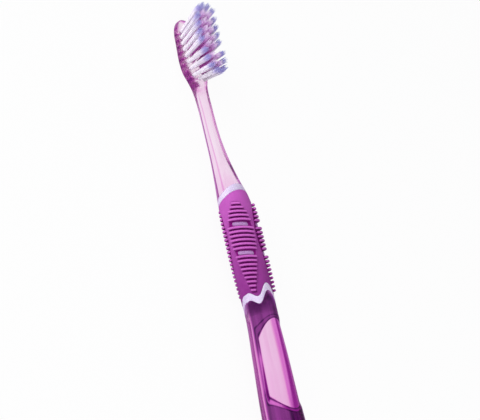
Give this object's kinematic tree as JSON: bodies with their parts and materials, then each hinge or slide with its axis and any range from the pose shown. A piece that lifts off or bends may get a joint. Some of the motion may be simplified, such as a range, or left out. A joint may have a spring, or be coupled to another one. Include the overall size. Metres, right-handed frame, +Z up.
{
  "type": "manual toothbrush",
  "caption": "Manual toothbrush with a clear violet handle, a ribbed purple rubber grip between pearl bands, and white and purple tufts with blue tips",
  "frame": {"origin": "middle of the bounding box, on the surface that the brush lies on", "axes": "+X along the brush to the tip of the head, +Z up, the way the bristles point as the brush lies on its back, +Y across the brush, which is the same on both sides of Y = 0"},
  "size_m": [0.1907, 0.0138, 0.0167],
  "materials": {
    "clear_violet": "translucent",
    "pearl": "pearl white",
    "rubber": "satin",
    "anchor_wire": "drawn",
    "white_filament": "satin",
    "purple_filament": "satin"
  },
  "bodies": {
    "root": {"handle_core": "clear_violet", "inner_sleeve": "pearl", "grip_overmould": "rubber", "tuft_anchors": "anchor_wire", "tuft_outer_left_1": "white_filament", "tuft_outer_left_2": "white_filament", "tuft_outer_left_3": "white_filament", "tuft_outer_left_4": "white_filament", "tuft_outer_left_5": "white_filament", "tuft_outer_left_6": "white_filament", "tuft_outer_left_7": "white_filament", "tuft_outer_left_8": "white_filament", "tuft_inner_left_1": "white_filament", "tuft_inner_left_2": "purple_filament", "tuft_inner_left_3": "purple_filament", "tuft_inner_left_4": "purple_filament", "tuft_inner_left_5": "purple_filament", "tuft_inner_left_6": "purple_filament", "tuft_inner_left_7": "purple_filament", "tuft_inner_left_8": "purple_filament", "tuft_inner_left_9": "white_filament", "tuft_outer_right_1": "white_filament", "tuft_outer_right_2": "white_filament", "tuft_outer_right_3": "white_filament", "tuft_outer_right_4": "white_filament", "tuft_outer_right_5": "white_filament", "tuft_outer_right_6": "white_filament", "tuft_outer_right_7": "white_filament", "tuft_outer_right_8": "white_filament", "tuft_inner_right_1": "white_filament", "tuft_inner_right_2": "purple_filament", "tuft_inner_right_3": "purple_filament", "tuft_inner_right_4": "purple_filament", "tuft_inner_right_5": "purple_filament", "tuft_inner_right_6": "purple_filament", "tuft_inner_right_7": "purple_filament", "tuft_inner_right_8": "purple_filament", "tuft_inner_right_9": "white_filament"}
  },
  "joints": []
}
